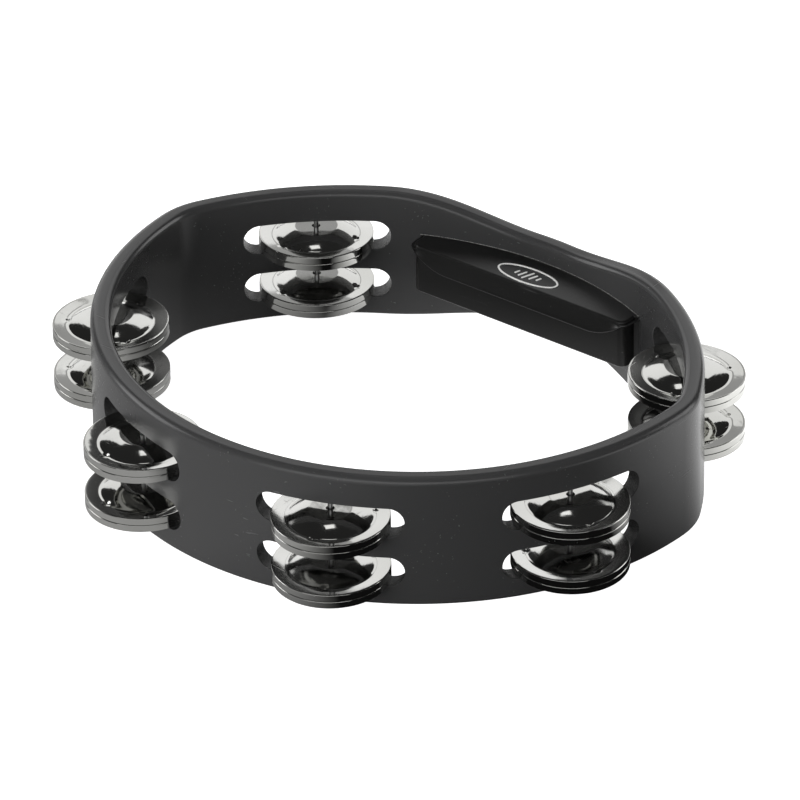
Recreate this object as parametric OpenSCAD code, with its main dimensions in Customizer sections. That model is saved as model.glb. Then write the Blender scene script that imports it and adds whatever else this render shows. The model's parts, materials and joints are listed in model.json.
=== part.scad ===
// Headless hand tambourine: a moulded plastic ring with twelve slots, steel jingles on
// six pins, and a grip block bonded inside the shallow, lower side of the ring.
// Millimetres, +Z up. The grip is on the +Y side, and the ring stands on z = 0.

/* [Frame] */
// Outer radius of the round front of the ring
frame_r = 127; // [125:0.5:135]
// Outer radius of the shallow back of the ring, beside the grip
back_r = 139.6; // [136:0.2:143]
// Distance from the front arc's centre to the back's outer face
back_depth = 88.5; // [86:0.5:92]
// Outer radius of the two corners between front and back
corner_r = 32.6; // [28:0.2:36]
// Thickness of the ring's wall
wall_t = 8; // [7:0.1:8.4]
// Height of the ring
frame_h = 55.2; // [53:0.1:58]
// Radius of the rounded top rim
rim_r = 3.8; // [2:0.1:3.9]
// Radius of the bottom edges
foot_r = 1.2; // [0.5:0.1:2]
// How far the ring's top edge dips, and its bottom edge rises, at the grip
waist_dip = 8.9; // [6:0.1:9.5]
// Distance from the middle of the grip to where the ring starts to narrow
waist_x = 68; // [64:0.5:72]
// Half length of the level stretch in the middle of the waist
waist_flat = 8; // [4:0.5:14]

/* [Slots] */
// Length of each jingle slot, round ends included
slot_l = 58; // [54:0.5:60]
// Height of each jingle slot
slot_h = 12.5; // [12:0.1:13]
// Floor of the lower row of slots
slot_floor = 8.1; // [7:0.1:9]
// Distance from the lower row of slots to the upper row
row_pitch = 21.5; // [21:0.1:22.5]
// Angle of the two front stations from the middle of the front
front_angle = 21.6; // [20:0.1:23]
// Angle of the two side stations from the middle of the front
side_angle = 64.8; // [63:0.1:67]
// Angle of the two back stations from the middle of the back
back_angle = 41.8; // [41:0.1:44]

/* [Pins] */
// Radius of each steel pin
pin_r = 1; // [0.8:0.1:1.2]
// Height of a pin's lower end, recessed into the ring's foot
pin_foot = 1; // [0.5:0.1:2]
// Height of a pin's upper end, inside the rim
pin_head = 47; // [45:0.5:50]

/* [Jingles] */
// Outer radius of a jingle
jingle_r = 22.7; // [21:0.1:23]
// Thickness of the steel sheet
sheet_t = 0.6; // [0.4:0.1:0.8]
// Radius of the flat crown on the dome
crown_r = 8.7; // [8:0.1:9]
// Height of a jingle, from its turned edge to its crown
jingle_h = 5.3; // [5.1:0.1:5.5]
// Radius of the bend half way down the dome
dome_r = 13.4; // [13:0.1:14]
// Height of that bend
dome_bend_h = 4; // [3.8:0.1:4.1]
// Radius of the groove round the foot of the dome
groove_r = 17.4; // [17:0.1:18]
// Height of that groove
groove_h = 1.8; // [1.6:0.1:2]
// Height of the turned-down edge
skirt_h = 2.8; // [2.6:0.1:2.9]
// Radius of the jingle's centre hole
hole_r = 1.8; // [1.6:0.1:2.4]
// Air between a resting jingle and what it rests on
rest_gap = 0.15; // [0.1:0.05:0.3]

/* [Grip] */
// Length of the grip block's pad
grip_l = 108; // [104:0.5:110]
// Distance from the front arc's centre to the pad's front face
grip_nose = 59.8; // [58:0.2:64]
// Underside of the grip block
grip_low = 17; // [16:0.1:19]
// Underside of the pad, where it stands proud of the block
pad_low = 29.3; // [28:0.1:31]
// Top of the pad
grip_top = 38; // [37:0.1:39]
// How far the pad stands proud of the block under it
pad_proud = 1.8; // [1:0.1:3]
// Radius of the pad's lower corners, seen from the front
pad_corner_r = 13; // [10:0.5:14]
// Radius of the block's front corners, seen from above
nose_corner_r = 5; // [2:0.5:6]
// Width of the bond line between the grip and the ring
bond_gap = 0.1; // [0.05:0.05:0.3]

/* [Badge] */
// Length of the printed oval
badge_l = 28.4; // [24:0.1:30]
// Width of the printed oval
badge_w = 11.2; // [9:0.1:12]
// Width of the oval's line
badge_line = 0.8; // [0.6:0.1:1.2]
// Thickness of the print
badge_t = 0.2; // [0.1:0.05:0.3]
// Distance from the front arc's centre to the middle of the oval
badge_y = 68.5; // [67:0.1:71]

/* [Hidden] */
$fn = 128;
stations = 6;
rows = ["lower", "upper"];
sides = ["bottom", "top"];

mid_r = frame_r - wall_t / 2;
back_cy = back_depth - back_r;
back_mid_r = back_r - wall_t / 2;
// The corner arcs are tangent to the front arc and to the back arc.
corner_cy = (back_cy ^ 2 - (back_r - corner_r) ^ 2 + (frame_r - corner_r) ^ 2) / (2 * back_cy);
corner_cx = sqrt((frame_r - corner_r) ^ 2 - corner_cy ^ 2);
front_end = atan2(corner_cy, corner_cx);
back_end = atan2(corner_cy - back_cy, corner_cx);
// The jingles reach further forward than the ring, and the part's origin is under its middle.
front_reach = mid_r * cos(front_angle) + jingle_r;
ring_y = (front_reach - back_depth) / 2;
// Each station: y of its arc's centre, radius to the pin, angle from -Y.
station_list = [
    [back_cy, back_mid_r, 180 + back_angle],
    [0, mid_r, -side_angle],
    [0, mid_r, -front_angle],
    [0, mid_r, front_angle],
    [0, mid_r, side_angle],
    [back_cy, back_mid_r, 180 - back_angle]
];
dimple_ball_r = 1.8;
dimple_deep = 0.15;
waist_lift = 0.5;
waist_steps = 10;
corner_skin = 0.05;
corner_lap = 2;
over = 20;

function jingle_name(station, row, side) = str("jingle_", station, "_", row, "_", side);
function row_floor(row) = slot_floor + (row == "upper" ? row_pitch : 0);

// Moves a shape that is drawn round a pin, with -Y outward, to its station.
module at_station(s) {
    place = station_list[s - 1];
    translate([0, ring_y + place[0], 0])
        rotate([0, 0, place[2]])
            translate([0, -place[1], 0])
                children();
}

// Section through the wall, with its outer face at radius outer_r, thinned by skin all round.
module wall_section(outer_r, skin) {
    t = wall_t - 2 * skin;
    h = frame_h - 2 * skin;
    translate([outer_r - wall_t + skin, skin]) {
        translate([0, foot_r]) square([t, h - rim_r - foot_r]);
        translate([foot_r, 0]) square([t - 2 * foot_r, h - rim_r]);
        translate([rim_r, h - 2 * rim_r]) square([t - 2 * rim_r, 2 * rim_r]);
        for (x = [foot_r, t - foot_r]) translate([x, foot_r]) circle(foot_r);
        for (x = [rim_r, t - rim_r]) translate([x, h - rim_r]) circle(rim_r);
    }
}

// One stretch of the wall, from one angle to another about its own centre.
module wall_arc(centre, outer_r, from, to, skin = 0) {
    translate(centre) rotate([0, 0, from])
        rotate_extrude(angle = to - from, $fn = 256) wall_section(outer_r, skin);
}

// A corner runs a little way into the front and the back, a hair inside their faces,
// so that the four stretches make one solid.
module wall_corner(centre, from, to) {
    wall_arc(centre, corner_r, from - corner_lap, to + corner_lap, corner_skin);
}

// Height of the waist's edge at a share t of its slope, from the level middle out.
function waist_edge(t) = frame_h - waist_dip + (waist_dip + waist_lift) * (1 - cos(180 * t)) / 2;

// What is cut off the back of the ring to make its waist, above the middle of its height. The
// slopes end a little above the ring's top face, so that they meet it at a clean angle.
module waist_cut() {
    slope = [for (i = [0:waist_steps])
        [waist_flat + (waist_x - waist_flat) * i / waist_steps, waist_edge(i / waist_steps)]];
    translate([0, back_depth + over, 0]) rotate([90, 0, 0]) linear_extrude(back_depth)
        polygon(concat(slope, [for (i = [waist_steps:-1:0]) [-slope[i][0], slope[i][1]]]));
}

// A slot through the wall at a station: flat floor and roof, full-round ends.
module slot(row) {
    straight = slot_l - slot_h;
    translate([0, 0, row_floor(row) + slot_h / 2])
        rotate([90, 0, 0]) linear_extrude(4 * wall_t, center = true) {
            square([straight, slot_h], center = true);
            for (x = [-1, 1]) translate([x * straight / 2, 0]) circle(slot_h / 2);
        }
}

module frame() {
    color([0.09, 0.09, 0.1]) difference() {
        translate([0, ring_y, 0]) {
            wall_arc([0, 0, 0], frame_r, 180 - front_end, 360 + front_end);
            wall_corner([corner_cx, corner_cy, 0], front_end, back_end);
            wall_arc([0, back_cy, 0], back_r, back_end, 180 - back_end);
            wall_corner([-corner_cx, corner_cy, 0], 180 - back_end, 180 - front_end);
        }
        translate([0, ring_y, 0]) {
            waist_cut();
            translate([0, 0, frame_h]) mirror([0, 0, 1]) waist_cut();
        }
        for (s = [1:stations]) at_station(s) {
            for (row = rows) slot(row);
            translate([0, 0, -1]) cylinder(r = pin_r, h = pin_head + 1, $fn = 48);
        }
    }
}

// Plan of the grip: flat front with round corners, and a back that follows the ring's wall.
module grip_plan(nose, half_l) {
    r = nose_corner_r;
    intersection() {
        translate([0, back_cy]) circle(back_r - wall_t - bond_gap, $fn = 256);
        union() {
            translate([-half_l, nose + r]) square([2 * half_l, back_depth]);
            translate([r - half_l, nose]) square([2 * (half_l - r), back_depth]);
            for (x = [-1, 1]) translate([x * (half_l - r), nose + r]) circle(r);
        }
    }
}

// Front view of the pad, with its large lower corners.
module pad_front() {
    centre_x = grip_l / 2 - pad_corner_r;
    intersection() {
        union() {
            translate([-centre_x, pad_low]) square([2 * centre_x, grip_top - pad_low]);
            for (x = [-1, 1]) translate([x * centre_x, pad_low + pad_corner_r]) circle(pad_corner_r);
        }
        translate([-grip_l, pad_low]) square([2 * grip_l, grip_top - pad_low]);
    }
}

module grip() {
    pad_step = 1;
    color([0.05, 0.05, 0.05]) translate([0, ring_y, 0]) {
        translate([0, 0, grip_low])
            linear_extrude(grip_top - pad_step - grip_low)
                grip_plan(grip_nose + pad_proud, grip_l / 2 - pad_proud);
        intersection() {
            translate([0, 0, pad_low]) linear_extrude(grip_top - pad_low)
                grip_plan(grip_nose, grip_l / 2);
            translate([0, back_depth, 0]) rotate([90, 0, 0]) linear_extrude(back_depth) pad_front();
        }
    }
}

// A line with round ends, standing at a slant.
module slanted_bar(h) {
    slant = 20;
    rotate([0, 0, -slant]) {
        square([badge_line, h - badge_line], center = true);
        for (y = [-1, 1]) translate([0, y * (h - badge_line) / 2]) circle(badge_line / 2, $fn = 24);
    }
}

// White print on the pad's top: an oval ring round five slanted bars.
module badge() {
    bar_pitch = 2.6;
    bar_heights = [2.6, 4.4, 6.2, 4.4, 2.6];
    color([0.95, 0.95, 0.93]) translate([0, ring_y + badge_y, grip_top])
        linear_extrude(badge_t) {
            difference() {
                scale([badge_l / badge_w, 1]) circle(badge_w / 2);
                scale([(badge_l - 2 * badge_line) / (badge_w - 2 * badge_line), 1])
                    circle(badge_w / 2 - badge_line);
            }
            for (i = [0:4]) translate([(i - 2) * bar_pitch, 0]) slanted_bar(bar_heights[i]);
        }
}

// Straight steel pin, pressed up into the ring through both slots of its station.
module pin(s) {
    color([0.75, 0.75, 0.77]) at_station(s)
        translate([0, 0, pin_foot]) cylinder(r = pin_r, h = pin_head - pin_foot, $fn = 48);
}

// Half section of a jingle: crown, dome, groove, a flange that rises to its rim, and an edge
// turned down to stand on z = 0. The sheet's lower face lies under_t below its upper face.
module jingle_section() {
    rim_ease = 0.4;
    under_t = 0.66;
    polygon([
        [hole_r, jingle_h],
        [crown_r, jingle_h],
        [dome_r, dome_bend_h],
        [groove_r, groove_h],
        [jingle_r - rim_ease, skirt_h],
        [jingle_r, skirt_h - rim_ease],
        [jingle_r, 0],
        [jingle_r - sheet_t, 0],
        [jingle_r - sheet_t, skirt_h - under_t],
        [groove_r, groove_h - under_t],
        [dome_r - sheet_t / 4, dome_bend_h - under_t],
        [crown_r - sheet_t / 4, jingle_h - under_t],
        [hole_r, jingle_h - under_t]
    ]);
}

// One pressed steel disc with three dimples in the groove round its dome.
module jingle_disc() {
    difference() {
        rotate_extrude() jingle_section();
        for (a = [90, 210, 330]) rotate([0, 0, a])
            translate([groove_r, 0, groove_h + dimple_ball_r - dimple_deep])
                sphere(dimple_ball_r, $fn = 32);
    }
}

// A jingle at rest. Both lie dome up: the bottom one stands on the slot's floor, and the top
// one stands on its rim.
module jingle(s, row, side) {
    stack = rest_gap + (side == "top" ? skirt_h + rest_gap : 0);
    color([0.8, 0.8, 0.82]) at_station(s)
        translate([0, 0, row_floor(row) + stack]) jingle_disc();
}

frame();
grip();
badge();
for (s = [1:stations])
    pin(s);
for (s = [1:stations], r = rows, d = sides)
    jingle(s, r, d);
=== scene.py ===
import json
import math
import random

import bmesh
import bpy
from mathutils import Matrix, Vector, noise


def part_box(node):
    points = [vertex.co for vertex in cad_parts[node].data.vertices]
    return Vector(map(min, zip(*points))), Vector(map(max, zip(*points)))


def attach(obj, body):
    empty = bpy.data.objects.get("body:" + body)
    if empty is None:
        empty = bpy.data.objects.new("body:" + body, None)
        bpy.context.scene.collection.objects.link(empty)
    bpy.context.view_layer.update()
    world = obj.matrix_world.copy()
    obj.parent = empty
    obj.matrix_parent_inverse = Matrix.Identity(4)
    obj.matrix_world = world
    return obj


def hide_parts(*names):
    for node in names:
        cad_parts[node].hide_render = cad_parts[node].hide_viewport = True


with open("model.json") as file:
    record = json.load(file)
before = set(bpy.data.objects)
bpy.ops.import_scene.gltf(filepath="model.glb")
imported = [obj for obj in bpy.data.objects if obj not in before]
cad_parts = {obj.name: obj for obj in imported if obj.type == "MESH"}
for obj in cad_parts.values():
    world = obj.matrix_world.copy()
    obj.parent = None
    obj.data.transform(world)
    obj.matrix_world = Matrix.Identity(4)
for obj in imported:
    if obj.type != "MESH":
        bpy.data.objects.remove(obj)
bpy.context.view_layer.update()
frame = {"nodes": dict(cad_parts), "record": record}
random.seed(24)


# The ring. One injection-moulded ABS wall 8 mm thick, round in front and shallow behind, with
# twelve slots cut through it. Its top rim is rounded, and both edges draw in at the grip.
front_r = 0.127
back_r = 0.1396
corner_r = 0.0326
wall = 0.008
ring_low, ring_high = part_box("frame")
ring_h = ring_high.z
front_y = ring_low.y + front_r
back_y = ring_high.y - back_r


def make_material(name, base, roughness, metallic=0.0):
    """A material with its Principled shader's constant values set, and the tools to wire it."""
    material = bpy.data.materials.new(name)
    material.use_nodes = True
    tree = material.node_tree
    shader = tree.nodes["Principled BSDF"]
    shader.inputs["Base Color"].default_value = (*base, 1)
    shader.inputs["Roughness"].default_value = roughness
    shader.inputs["Metallic"].default_value = metallic
    return material, tree, shader


def add(tree, kind, **values):
    """Adds a node. Input names take values or sockets; lower-case names set properties."""
    node = tree.nodes.new("ShaderNode" + kind)
    for key, value in values.items():
        if key[0].islower():
            setattr(node, key, value)
            continue
        socket = node.inputs[key.replace("_", " ")]
        if isinstance(value, bpy.types.NodeSocket):
            tree.links.new(value, socket)
        else:
            socket.default_value = value
    return node


def effect(name, inputs, outputs):
    """A shader node group with float inputs and outputs, one vector input called Place."""
    tree = bpy.data.node_groups.new(name, "ShaderNodeTree")
    tree.interface.new_socket(name="Place", in_out="INPUT", socket_type="NodeSocketVector")
    for socket in inputs:
        tree.interface.new_socket(name=socket, in_out="INPUT", socket_type="NodeSocketFloat")
    for socket in outputs:
        tree.interface.new_socket(name=socket, in_out="OUTPUT", socket_type="NodeSocketFloat")
    return tree, tree.nodes.new("NodeGroupInput"), tree.nodes.new("NodeGroupOutput")


def remap(tree, value, from_low, from_high, to_low, to_high):
    node = add(tree, "MapRange", Value=value)
    for socket, number in zip(("From Min", "From Max", "To Min", "To Max"),
                              (from_low, from_high, to_low, to_high)):
        node.inputs[socket].default_value = number
    return node.outputs["Result"]


# Fine grain of a moulded or pressed surface, with slow unevenness of its tone.
grain, grain_in, grain_out = effect("surface_grain", ["Scale"], ["Height", "Tone"])
fine = add(grain, "TexNoise", Vector=grain_in.outputs["Place"], Scale=grain_in.outputs["Scale"],
           Detail=4.0, Roughness=0.6)
slow = add(grain, "TexNoise", Vector=grain_in.outputs["Place"], Scale=26.0, Detail=1.0)
grain.links.new(fine.outputs["Fac"], grain_out.inputs["Height"])
grain.links.new(slow.outputs["Fac"], grain_out.inputs["Tone"])

# Hairline scratches from handling, in two crossing directions, gathered in patches.
wear, wear_in, wear_out = effect("handling_wear", ["Amount"], ["Scratches"])
lines = []
for turn, stretch in ((0.5, (40, 1400, 900)), (-0.9, (1300, 60, 700))):
    turned = add(wear, "Mapping", Vector=wear_in.outputs["Place"], Rotation=(0.3, turn, turn),
                 Scale=stretch)
    streak = add(wear, "TexNoise", Vector=turned.outputs["Vector"], Scale=1.0, Detail=1.0)
    lines.append(remap(wear, streak.outputs["Fac"], 0.71, 0.8, 0.0, 1.0))
both = add(wear, "Math", operation="MAXIMUM")
for i in (0, 1):
    wear.links.new(lines[i], both.inputs[i])
patches = add(wear, "TexNoise", Vector=wear_in.outputs["Place"], Scale=55.0, Detail=2.0)
scratched = add(wear, "Math", operation="MULTIPLY")
wear.links.new(both.outputs[0], scratched.inputs[0])
wear.links.new(remap(wear, patches.outputs["Fac"], 0.5, 0.62, 0.0, 1.0), scratched.inputs[1])
shown = add(wear, "Math", operation="MULTIPLY")
wear.links.new(scratched.outputs[0], shown.inputs[0])
wear.links.new(wear_in.outputs["Amount"], shown.inputs[1])
wear.links.new(shown.outputs[0], wear_out.inputs["Scratches"])


def use_effect(tree, group, place, **values):
    node = tree.nodes.new("ShaderNodeGroup")
    node.node_tree = group
    tree.links.new(place, node.inputs["Place"])
    for key, value in values.items():
        node.inputs[key].default_value = value
    return node


def moulded_plastic(name, base, worn, roughness, grain_scale, grain_depth, scratch_amount):
    """Black plastic: grain in its bump, gloss that varies, and scratches a shade lighter."""
    material, tree, shader = make_material(name, base, roughness)
    place = add(tree, "TexCoord").outputs["Object"]
    surface = use_effect(tree, grain, place, Scale=grain_scale)
    marks = use_effect(tree, wear, place, Amount=scratch_amount)
    toned = add(tree, "Mix", data_type="RGBA")
    toned.inputs["A"].default_value = (*base, 1)
    toned.inputs["B"].default_value = (*(c * 1.1 for c in base), 1)
    tree.links.new(remap(tree, surface.outputs["Tone"], 0.1, 0.9, 0.0, 1.0), toned.inputs[0])
    rubbed = add(tree, "Mix", data_type="RGBA")
    tree.links.new(toned.outputs["Result"], rubbed.inputs["A"])
    rubbed.inputs["B"].default_value = (*worn, 1)
    tree.links.new(marks.outputs["Scratches"], rubbed.inputs[0])
    tree.links.new(rubbed.outputs["Result"], shader.inputs["Base Color"])
    rough = remap(tree, surface.outputs["Tone"], 0.1, 0.9, roughness * 0.9, roughness * 1.1)
    dulled = add(tree, "Math", operation="MULTIPLY_ADD")
    tree.links.new(marks.outputs["Scratches"], dulled.inputs[0])
    dulled.inputs[1].default_value = 0.25
    tree.links.new(rough, dulled.inputs[2])
    tree.links.new(dulled.outputs[0], shader.inputs["Roughness"])
    bump = add(tree, "Bump", Strength=1.0, Distance=grain_depth, Height=surface.outputs["Height"])
    tree.links.new(bump.outputs["Normal"], shader.inputs["Normal"])
    return material


def finish_mesh(bm, name, materials, sharp_angle=40):
    """Turns a bmesh into a smooth-shaded object at the origin."""
    bmesh.ops.remove_doubles(bm, verts=bm.verts, dist=2e-6)
    bmesh.ops.recalc_face_normals(bm, faces=bm.faces)
    mesh = bpy.data.meshes.new(name)
    bm.to_mesh(mesh)
    bm.free()
    for material in materials:
        mesh.materials.append(material)
    mesh.shade_smooth()
    mesh.set_sharp_from_angle(angle=math.radians(sharp_angle))
    piece = bpy.data.objects.new(name, mesh)
    bpy.context.scene.collection.objects.link(piece)
    return piece


def even_normals(piece):
    modifier = piece.modifiers.new("even_normals", "WEIGHTED_NORMAL")
    modifier.keep_sharp = True
    modifier.weight = 100


ring_plastic = moulded_plastic("ring_plastic", (0.042, 0.042, 0.0425), (0.12, 0.12, 0.12),
                               0.24, 900.0, 0.000006, 0.5)
# A darker copy of the ring's plastic for the faces inside the slots: painted shade in the openings,
# over a coarser grain.
slot_painted_shade_plastic = moulded_plastic("slot_painted_shade_plastic", (0.02, 0.02, 0.02), (0.1, 0.1, 0.1),
                               0.22, 1100.0, 0.0004, 0.2)

rim_outer = 0.0031
rim_inner = 0.0027
foot = 0.0012
front_steps = 191
back_steps = 126
corner_steps = 28
waist_dip = 0.0089
waist_flat = 0.008
waist_reach = 0.068

# The corner arcs touch both the front arc and the back arc.
drop = back_y - front_y
corner_dy = (drop ** 2 - (back_r - corner_r) ** 2 + (front_r - corner_r) ** 2) / (2 * drop)
corner_x = math.sqrt((front_r - corner_r) ** 2 - corner_dy ** 2)
front_end = math.atan2(corner_dy, corner_x)
back_end = math.atan2(corner_dy - drop, corner_x)

bm = bmesh.new()
corners = [bm.verts.new((x, 0, z)) for x, z in
           ((front_r - wall, 0), (front_r, 0), (front_r, ring_h), (front_r - wall, ring_h))]
bm.faces.new(corners)
for group, radius, segments in ((corners[:2], foot, 4), (corners[2:3], rim_outer, 10),
                                (corners[3:], rim_inner, 10)):
    bmesh.ops.bevel(bm, geom=group, affect="VERTICES", offset=radius, segments=segments,
                    profile=0.5, material=-1)
bmesh.ops.delete(bm, geom=bm.faces[:], context="FACES_ONLY")
bmesh.ops.rotate(bm, verts=bm.verts, matrix=Matrix.Rotation(math.pi - front_end, 3, "Z"))
bmesh.ops.translate(bm, verts=bm.verts, vec=(0, front_y, 0))
section = bm.verts[:] + bm.edges[:]

# The step counts keep every slot's end away from a seam between two steps.
for centre_x, centre_y, angle, steps in (
        (0, front_y, math.pi + 2 * front_end, front_steps),
        (corner_x, front_y + corner_dy, back_end - front_end, corner_steps),
        (0, back_y, math.pi - 2 * back_end, back_steps),
        (-corner_x, front_y + corner_dy, back_end - front_end, corner_steps)):
    section = bmesh.ops.spin(bm, geom=section, cent=(centre_x, centre_y, 0), axis=(0, 0, 1),
                             dvec=(0, 0, 0), angle=angle, steps=steps)["geom_last"]

# The waist: both edges draw in along half a cosine wave, from full height at the corners.
for vert in bm.verts:
    if vert.co.y > front_y:
        share = min(max((abs(vert.co.x) - waist_flat) / (waist_reach - waist_flat), 0), 1)
        dip = waist_dip * (1 + math.cos(math.pi * share)) / 2
        vert.co.z += -dip if vert.co.z > ring_h / 2 else dip
ring = finish_mesh(bm, "ring_wall", [ring_plastic, slot_painted_shade_plastic])

# The slots. Twelve openings in two rows with half-round ends, with a small eased lip all round.
# Their inside faces carry the darker plastic, which is painted shade.
slot_l = 0.058
slot_h = 0.0125
slot_floors = (0.0081, 0.0296)
slot_end_share = 0.4995
lip_ease = 0.0003
sliver = 0.00004
mid_r = front_r - wall / 2
back_mid_r = back_r - wall / 2


def station(number):
    """Matrix that puts a shape drawn round a pin, with -Y outward, at its station."""
    centre_y, radius, turn = {
        1: (back_y, back_mid_r, 221.8), 2: (front_y, mid_r, -64.8), 3: (front_y, mid_r, -21.6),
        4: (front_y, mid_r, 21.6), 5: (front_y, mid_r, 64.8), 6: (back_y, back_mid_r, 138.2),
    }[number]
    return (Matrix.Translation((0, centre_y, 0)) @ Matrix.Rotation(math.radians(turn), 4, "Z")
            @ Matrix.Translation((0, -radius, 0)))


bm = bmesh.new()
bmesh.ops.create_grid(bm, x_segments=1, y_segments=1, size=1)
bmesh.ops.scale(bm, verts=bm.verts, vec=(slot_l / 2, slot_h / 2, 1))
bmesh.ops.bevel(bm, geom=bm.verts[:], affect="VERTICES", offset=slot_h * slot_end_share,
                segments=12, profile=0.5, material=-1)
bmesh.ops.solidify(bm, geom=bm.faces[:], thickness=wall * 4)
bmesh.ops.translate(bm, verts=bm.verts, vec=(0, 0, wall * 2))
bmesh.ops.rotate(bm, verts=bm.verts, matrix=Matrix.Rotation(math.pi / 2, 3, "X"))
plug = bpy.data.meshes.new("slot_plug")
bm.to_mesh(plug)
bm.clear()
for number in range(1, 7):
    for floor in slot_floors:
        count = len(bm.verts)
        bm.from_mesh(plug)
        bmesh.ops.transform(bm, verts=bm.verts[:][count:], matrix=station(number)
                            @ Matrix.Translation((0, 0, floor + slot_h / 2)))
cutter = finish_mesh(bm, "slot_cutter", [slot_painted_shade_plastic])
cut = ring.modifiers.new("slots", "BOOLEAN")
cut.object = cutter
cut.solver = "EXACT"
# The faces inside the slots take the cutter's darker plastic, the painted shade.
cut.material_mode = "TRANSFER"
bpy.context.view_layer.update()
bm = bmesh.new()
bm.from_mesh(ring.evaluated_get(bpy.context.evaluated_depsgraph_get()).to_mesh())
ring.modifiers.clear()
bpy.data.objects.remove(cutter)
bmesh.ops.remove_doubles(bm, verts=bm.verts, dist=sliver)
lips = [e for e in bm.edges if len({f.material_index for f in e.link_faces}) == 2]
bmesh.ops.bevel(bm, geom=lips, affect="EDGES", offset=lip_ease, segments=2, profile=0.5,
                material=-1, clamp_overlap=False)
bmesh.ops.recalc_face_normals(bm, faces=bm.faces)
bm.to_mesh(ring.data)
bm.free()
ring.data.shade_smooth()
ring.data.set_sharp_from_angle(angle=math.radians(50))
even_normals(ring)
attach(ring, "ring")
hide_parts("frame")


# The grip. A moulded block of soft black rubber, bonded inside the shallow back: a plain block
# below, and over it a pad with a sloped lip that stands 1.8 mm proud and fades at both ends.
grip_low, grip_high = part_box("grip")
grip_half = grip_high.x
nose_y = grip_low.y
nose_r = 0.005
bond_gap = 0.0001
inner_r = back_r - wall - bond_gap
pad_step = 0.0018
foot_ease = 0.001
edge_ease = 0.0006
crease_z = 0.0293
crease_rise = 0.0062
rise_start = 0.034
rise_span = 0.016
rise_limit = 0.017
lip_slope = 0.0013
lip_steps = 6
lip_top_r = 0.0012
round_steps = 7
face_steps = 48
nose_steps = 10
end_steps = 6
joint_steps = 60

rubber = moulded_plastic("grip_rubber", (0.008, 0.008, 0.0078), (0.08, 0.08, 0.08),
                         0.33, 1300.0, 0.00001, 0.7)


def wall_y(x):
    return back_y + math.sqrt(inner_r ** 2 - x * x)


# The outline runs along the front face, round the right nose, along the wall and back round the
# left nose. Each point has the direction in which the block's levels are inset.
outline = []
for i in range(face_steps):
    outline.append((Vector((-1 + 2 * i / face_steps, 0)) * (grip_half - nose_r)
                    + Vector((0, nose_y)), Vector((0, 1))))
for i in range(nose_steps):
    quarter = math.pi / 2 * i / nose_steps
    turn = Vector((math.sin(quarter), -math.cos(quarter)))
    outline.append((Vector((grip_half - nose_r, nose_y + nose_r)) + turn * nose_r, -turn))
end_y = nose_y + nose_r
end_l = wall_y(grip_half) - end_y
for i in range(end_steps):
    outline.append((Vector((grip_half, end_y + end_l * i / end_steps)), Vector((-1, 0))))
for i in range(joint_steps):
    x = grip_half * math.cos(math.pi * i / joint_steps)
    outline.append((Vector((x, wall_y(x))), Vector((0, 0))))
for i in range(end_steps):
    outline.append((Vector((-grip_half, wall_y(grip_half) - end_l * i / end_steps)),
                    Vector((1, 0))))
for i in range(nose_steps):
    quarter = math.pi / 2 * i / nose_steps
    turn = Vector((-math.cos(quarter), -math.sin(quarter)))
    outline.append((Vector((nose_r - grip_half, nose_y + nose_r)) + turn * nose_r, -turn))


def grip_levels(x):
    """Inset and height of each level of the block at a distance x from its middle."""
    crease = crease_z + crease_rise * (min(max(abs(x) - rise_start, 0), rise_limit) / rise_span) ** 2
    lip_top = grip_high.z - lip_top_r
    levels = [(pad_step + foot_ease * (1 - math.sin(a)), grip_low.z + foot_ease * (1 - math.cos(a)))
              for a in (0, math.pi / 6, math.pi / 3, math.pi / 2)]
    levels += [(pad_step, crease - edge_ease), (pad_step + edge_ease / 3, crease - edge_ease / 3),
               (pad_step - edge_ease / 2, crease), (edge_ease * 2 / 3, crease),
               (edge_ease / 6, crease + edge_ease / 3), (0, crease + edge_ease)]
    lip_foot = crease + edge_ease
    levels += [(lip_slope * (t / lip_steps) ** 1.2, lip_foot + (lip_top - lip_foot) * t / lip_steps)
               for t in range(1, lip_steps + 1)]
    for t in range(1, round_steps + 1):
        quarter = math.pi / 2 * t / round_steps
        levels.append((lip_slope + lip_top_r * (1 - math.cos(quarter)),
                       lip_top + lip_top_r * math.sin(quarter)))
    return levels


around = len(outline)
level_count = len(grip_levels(0))
bm = bmesh.new()
bmesh.ops.create_grid(bm, x_segments=around, y_segments=level_count - 1, size=1)
for vert in bm.verts:
    place, inward = outline[round((vert.co.x + 1) / 2 * around) % around]
    inset, height = grip_levels(place.x)[round((vert.co.y + 1) / 2 * (level_count - 1))]
    vert.co = (*(place + inward * inset), height)
bmesh.ops.remove_doubles(bm, verts=bm.verts, dist=1e-6)
bmesh.ops.holes_fill(bm, edges=[e for e in bm.edges if e.is_boundary], sides=0)
grip = finish_mesh(bm, "grip_block", [rubber], 50)
even_normals(grip)
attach(grip, "ring")
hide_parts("grip")

# The bond. A hair of adhesive squeezed out along the joint between the grip's top and the wall. Its
# light grey tone is a painted highlight along the joint.
bead_r = 0.00016
bead_in = 0.00005
bead_lift = 0.00004
bead_steps = 220
bead_swell = 1.2
bead_waviness = 420


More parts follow.
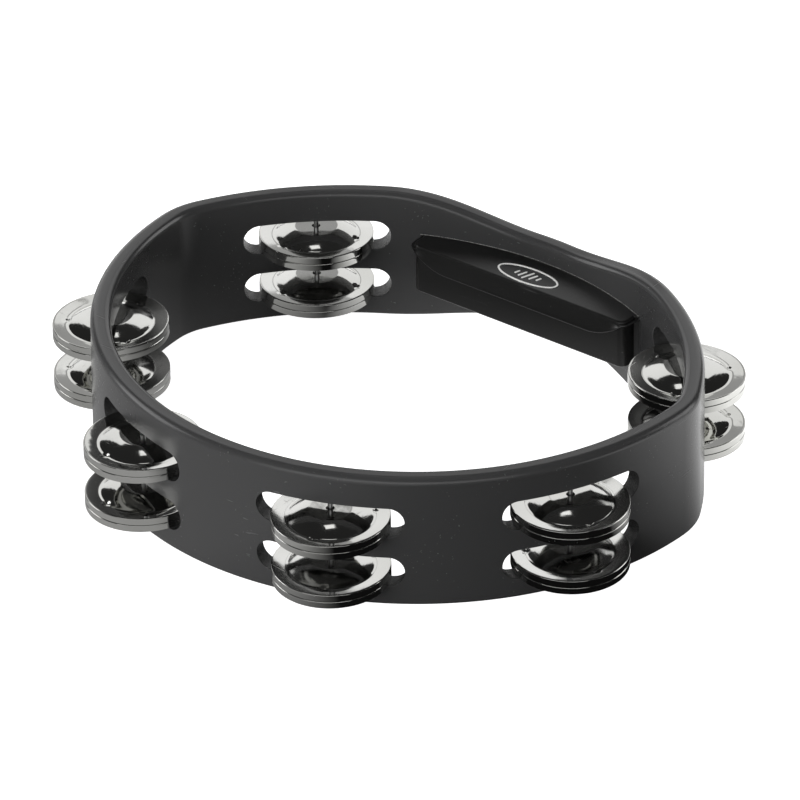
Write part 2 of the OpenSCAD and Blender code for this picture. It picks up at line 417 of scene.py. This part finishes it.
def speckled(name, dark, light, spread, gloss, gloss_from, scale, strength, depth, metallic=0.0,
             stretch=None):
    """A finish whose tone runs from dark to light with its grain, and whose gloss varies."""
    material, tree, shader = make_material(name, light, gloss[1], metallic)
    place = add(tree, "TexCoord").outputs["Object"]
    if stretch:
        place = add(tree, "Mapping", Vector=place, Scale=stretch).outputs["Vector"]
    surface = use_effect(tree, grain, place, Scale=scale)
    tone = add(tree, "Mix", data_type="RGBA")
    tone.inputs["A"].default_value = (*dark, 1)
    tone.inputs["B"].default_value = (*light, 1)
    tree.links.new(remap(tree, surface.outputs["Height"], *spread, 0.0, 1.0), tone.inputs[0])
    tree.links.new(tone.outputs["Result"], shader.inputs["Base Color"])
    tree.links.new(remap(tree, surface.outputs[gloss_from], 0.3, 0.7, *gloss),
                   shader.inputs["Roughness"])
    bump = add(tree, "Bump", Strength=strength, Distance=depth, Height=surface.outputs["Height"])
    tree.links.new(bump.outputs["Normal"], shader.inputs["Normal"])
    return material


# Light grey on the lumpy bead: a painted highlight along the joint, over the glue's speckle.
bead_painted_highlight = speckled("bond_bead_painted_highlight", (0.05, 0.05, 0.048), (0.26, 0.26, 0.25), (0.4, 0.62),
                    (0.3, 0.5), "Tone", 2200.0, 0.6, 0.0001)

bond_sweep = math.asin(grip_half / inner_r)
bm = bmesh.new()
ends = bmesh.ops.create_circle(bm, segments=8, radius=bead_r)["verts"]
bmesh.ops.rotate(bm, verts=ends, matrix=Matrix.Rotation(math.pi / 2, 3, "X"))
bmesh.ops.translate(bm, verts=ends, vec=(inner_r - bead_in, 0, grip_high.z + bead_lift))
bmesh.ops.rotate(bm, verts=ends, matrix=Matrix.Rotation(math.pi / 2 - bond_sweep, 3, "Z"))
bmesh.ops.translate(bm, verts=ends, vec=(0, back_y, 0))
bmesh.ops.spin(bm, geom=bm.verts[:] + bm.edges[:], cent=(0, back_y, 0), axis=(0, 0, 1),
               dvec=(0, 0, 0), angle=2 * bond_sweep, steps=bead_steps)
bmesh.ops.holes_fill(bm, edges=[e for e in bm.edges if e.is_boundary], sides=0)
for vert in bm.verts:
    swell = 1 + bead_swell * max(noise.noise(vert.co * bead_waviness), 0)
    vert.co.z = grip_high.z + (vert.co.z - grip_high.z) * swell
bond = finish_mesh(bm, "grip_bond_line", [bead_painted_highlight])
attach(bond, "ring")


# The badge. A plain oval ring and five slanted bars, pad-printed in thick white ink on the flat
# top of the grip. The printed film is 0.2 mm thick and a little speckled, as its ink dries unevenly.
ink = speckled("white_print", (0.84, 0.84, 0.82), (0.96, 0.96, 0.94), (0.3, 0.5), (0.42, 0.58),
               "Tone", 2600.0, 0.5, 0.00002)
badge = frame["nodes"]["badge"]
badge.data.materials.clear()
badge.data.materials.append(ink)


# The pins. Straight 2 mm rods of drawn steel, one at each station, pressed up through the ring from
# below. Each crosses both slots and carries two pairs of jingles; drawing leaves lines along it.
pin_steel = speckled("pin_steel", (0.34, 0.34, 0.35), (0.58, 0.58, 0.58), (0.35, 0.65),
                     (0.29, 0.4), "Height", 3000.0, 0.4, 0.00003, metallic=1.0,
                     stretch=(1.0, 1.0, 0.04))
for number in range(1, 7):
    pin = frame["nodes"][f"pin_{number}"]
    pin.data.materials.clear()
    pin.data.materials.append(pin_steel)


# The jingles. Twenty-four pressed discs of bright-plated steel sheet, 45 mm across, stacked dome
# up in pairs: a flat crown, a dome, a groove with three dimples, and a rim with a turned edge.
sheet = 0.0006
hole_r = 0.0017
jingle_r = 0.0227
dimple_ring_r = 0.0172
dimple_r = 0.0018
dimple_deep = 0.0005
disc_steps = 132
facet = 0.0006
lean = math.radians(2)
turn_spread = 8

# Radius, height and easing of each corner of the outer surface, from the hole to the turned edge.
profile = (
    (hole_r, 0.0053, 0),
    (0.0087, 0.0053, 0.0005),
    (0.0131, 0.0041, 0.003),
    (0.0169, 0.00185, 0.0007),
    (jingle_r, 0.0028, 0.0004),
    (jingle_r, 0, 0),
)

plated, tree, shader = make_material("plated_steel", (0.66, 0.66, 0.64), 0.09, 1.0)
place = add(tree, "TexCoord").outputs["Object"]
surface = use_effect(tree, grain, place, Scale=1500.0)
marks = use_effect(tree, wear, place, Amount=0.8)
tone = add(tree, "Mix", data_type="RGBA")
tone.inputs["A"].default_value = (0.58, 0.58, 0.555, 1)
tone.inputs["B"].default_value = (0.71, 0.71, 0.69, 1)
tree.links.new(remap(tree, surface.outputs["Tone"], 0.35, 0.65, 0.0, 1.0), tone.inputs[0])
stained = add(tree, "Mix", data_type="RGBA")
tree.links.new(tone.outputs["Result"], stained.inputs["A"])
stained.inputs["B"].default_value = (0.42, 0.42, 0.4, 1)
tree.links.new(marks.outputs["Scratches"], stained.inputs[0])
tree.links.new(stained.outputs["Result"], shader.inputs["Base Color"])
rough = remap(tree, surface.outputs["Tone"], 0.3, 0.7, 0.06, 0.13)
worn = add(tree, "Math", operation="MULTIPLY_ADD")
tree.links.new(marks.outputs["Scratches"], worn.inputs[0])
worn.inputs[1].default_value = 0.3
tree.links.new(rough, worn.inputs[2])
tree.links.new(worn.outputs[0], shader.inputs["Roughness"])
ripple = add(tree, "TexNoise", Vector=place, Scale=170.0, Detail=1.5)
waved = add(tree, "Bump", Strength=0.5, Distance=0.00012, Height=ripple.outputs["Fac"])
bump = add(tree, "Bump", Strength=0.5, Distance=0.000004, Height=surface.outputs["Height"],
           Normal=waved.outputs["Normal"])
tree.links.new(bump.outputs["Normal"], shader.inputs["Normal"])


# One disc, dome up, with its turned edge standing on z = 0. Each corner of the profile is eased.
bm = bmesh.new()
line = [bm.verts.new((x, 0, z)) for x, z, ease in profile]
for a, b in zip(line, line[1:]):
    bm.edges.new((a, b))
for vert, (x, z, ease) in zip(line, profile):
    if ease:
        bmesh.ops.bevel(bm, geom=[vert], affect="VERTICES", offset=ease, segments=5, profile=0.5,
                        material=-1)
for edge in bm.edges[:]:
    if edge.calc_length() > 2 * facet:
        bmesh.ops.subdivide_edges(bm, edges=[edge], cuts=int(edge.calc_length() / facet))
bmesh.ops.spin(bm, geom=bm.verts[:] + bm.edges[:], cent=(0, 0, 0), axis=(0, 0, 1),
               dvec=(0, 0, 0), angle=2 * math.pi, steps=disc_steps, use_merge=True)
bmesh.ops.remove_doubles(bm, verts=bm.verts, dist=1e-6)
bmesh.ops.recalc_face_normals(bm, faces=bm.faces)
if max(bm.faces, key=lambda f: f.calc_center_median().z).normal.z < 0:
    bmesh.ops.reverse_faces(bm, faces=bm.faces)
for k in range(3):
    angle = math.radians(120 * k - 90)
    centre = Vector((math.cos(angle), math.sin(angle))) * dimple_ring_r
    for vert in bm.verts:
        share = (vert.co.xy - centre).length / dimple_r
        if share < 1:
            vert.co.z -= dimple_deep * (1 - share * share) ** 2
bmesh.ops.solidify(bm, geom=bm.faces[:], thickness=sheet)
disc_mesh = bpy.data.meshes.new("disc")
bm.to_mesh(disc_mesh)
bm.free()

# Each loose disc is turned a little on its pin and leans slightly outward.
bodies = frame["record"]["behaviour"]["bodies"]
for number in range(1, 7):
    for row in ("lower", "upper"):
        for side in ("bottom", "top"):
            node = f"jingle_{number}_{row}_{side}"
            bm = bmesh.new()
            bm.from_mesh(disc_mesh)
            turn = math.radians(random.uniform(-turn_spread, turn_spread))
            bmesh.ops.rotate(bm, verts=bm.verts, matrix=Matrix.Rotation(turn, 3, "Z"))
            bmesh.ops.rotate(bm, verts=bm.verts, matrix=Matrix.Rotation(lean, 3, "X"))
            bmesh.ops.translate(bm, verts=bm.verts, vec=(0, 0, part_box(node)[0].z))
            bmesh.ops.transform(bm, verts=bm.verts, matrix=station(number))
            disc = finish_mesh(bm, node + "_disc", [plated], 55)
            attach(disc, next(body for body, members in bodies.items() if node in members))
            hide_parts(node)
bpy.data.meshes.remove(disc_mesh)


# The stage: a plain pale floor, a white surround, and large soft panels of light.
azimuth = math.radians(37.86)
elevation = math.radians(30.97)
roll = math.radians(-0.59)
away = Vector((math.sin(azimuth) * math.cos(elevation), -math.cos(azimuth) * math.cos(elevation),
               math.sin(elevation)))
camera = bpy.data.objects.new("camera", bpy.data.cameras.new("camera"))
bpy.context.scene.collection.objects.link(camera)
bpy.context.scene.camera = camera
camera.data.lens = 461.7
camera.data.sensor_width = 36
camera_distance = 3.9718
camera.location = away * camera_distance + Vector((0, front_y, 0))
aim = Vector((-0.0104, front_y, 0.0106))
look = (aim - camera.location).to_track_quat("-Z", "Y").to_matrix().to_4x4()
camera.matrix_world = (Matrix.Translation(camera.location) @ look
                       @ Matrix.Rotation(roll, 4, "Z"))

# The floor looks white. What the object picks up from it is a soft glow that fades out across it.
floor_half = 12
glow_bright = 1.4
glow_beside = 0.4
glow_least = 0.006
toward = Vector((math.sin(azimuth), -math.cos(azimuth), 0))
floor_mat, tree, shader = make_material("floor_paper", (0.9, 0.9, 0.9), 0.9)
shader.inputs["Emission Color"].default_value = (1, 1, 1, 1)
shader.inputs["Emission Strength"].default_value = 1.0
place = add(tree, "TexCoord").outputs["Object"]
along = add(tree, "VectorMath", operation="DOT_PRODUCT")
tree.links.new(place, along.inputs[0])
along.inputs[1].default_value = Matrix.Rotation(math.radians(-50), 3, "Z") @ toward
beside = add(tree, "VectorMath", operation="DOT_PRODUCT")
tree.links.new(place, beside.inputs[0])
beside.inputs[1].default_value = (0.8, 0.6, 0)
brighter = add(tree, "Math", operation="MAXIMUM")
tree.links.new(remap(tree, along.outputs["Value"], -0.13, -0.03, glow_bright, glow_least),
               brighter.inputs[0])
tree.links.new(remap(tree, beside.outputs["Value"], -0.08, -0.01, glow_beside, glow_least),
               brighter.inputs[1])
glow = add(tree, "Emission", Strength=brighter.outputs[0])
camera_ray = add(tree, "LightPath").outputs["Is Camera Ray"]
seen = add(tree, "MixShader")
tree.links.new(camera_ray, seen.inputs[0])
tree.links.new(glow.outputs[0], seen.inputs[1])
tree.links.new(shader.outputs[0], seen.inputs[2])
tree.links.new(seen.outputs[0], tree.nodes["Material Output"].inputs["Surface"])
bm = bmesh.new()
bmesh.ops.create_grid(bm, x_segments=1, y_segments=1, size=floor_half)
floor = finish_mesh(bm, "floor", [floor_mat])


def panel(name, turn, rise, distance, width, height, strength):
    """A soft light panel facing the object. turn is its azimuth from the camera's, in degrees."""
    a, e = azimuth + math.radians(turn), math.radians(rise)
    out = Vector((math.sin(a) * math.cos(e), -math.cos(a) * math.cos(e), math.sin(e)))
    glow, tree, shader = make_material(name, (0, 0, 0), 1)
    shader.inputs["Emission Color"].default_value = (1, 1, 1, 1)
    shader.inputs["Emission Strength"].default_value = strength
    bm = bmesh.new()
    bmesh.ops.create_grid(bm, x_segments=1, y_segments=1, size=0.5)
    bmesh.ops.scale(bm, verts=bm.verts, vec=(width, height, 1))
    bmesh.ops.transform(bm, verts=bm.verts, matrix=Matrix.Translation(out * distance)
                        @ out.to_track_quat("Z", "Y").to_matrix().to_4x4())
    piece = finish_mesh(bm, name, [glow])
    piece.visible_camera = False
    return piece


panel("front_panel", -32, 13, 3.0, 3.6, 1.4, 7.0).visible_glossy = False
panel("overhead_panel", 0, 82, 3.0, 2.0, 2.0, 2.0).visible_glossy = False
panel("front_glow", -10, 22, 3.0, 5.0, 1.3, 1.1).visible_diffuse = False
panel("far_right_panel", 162, 26, 3.0, 1.4, 2.6, 1.05)
panel("far_left_panel", 198, 26, 3.0, 1.4, 2.6, 1.05)
panel("far_middle_panel", 180, 30, 3.2, 0.7, 2.6, 0.4)
panel("high_panel", 190, 76, 3.0, 0.55, 0.45, 1.3)
panel("side_left_panel", -105, 20, 3.0, 1.6, 1.6, 2.5)
panel("side_right_panel", 105, 20, 3.0, 1.6, 1.6, 2.5)

world = bpy.data.worlds.new("surround")
bpy.context.scene.world = world
world.use_nodes = True
tree = world.node_tree
background = tree.nodes["Background"]
camera_ray = add(tree, "LightPath").outputs["Is Camera Ray"]
tree.links.new(remap(tree, camera_ray, 0.0, 1.0, 0.022, 1.0), background.inputs["Strength"])
background.inputs["Color"].default_value = (1, 1, 1, 1)
bpy.context.scene.view_settings.view_transform = "Standard"
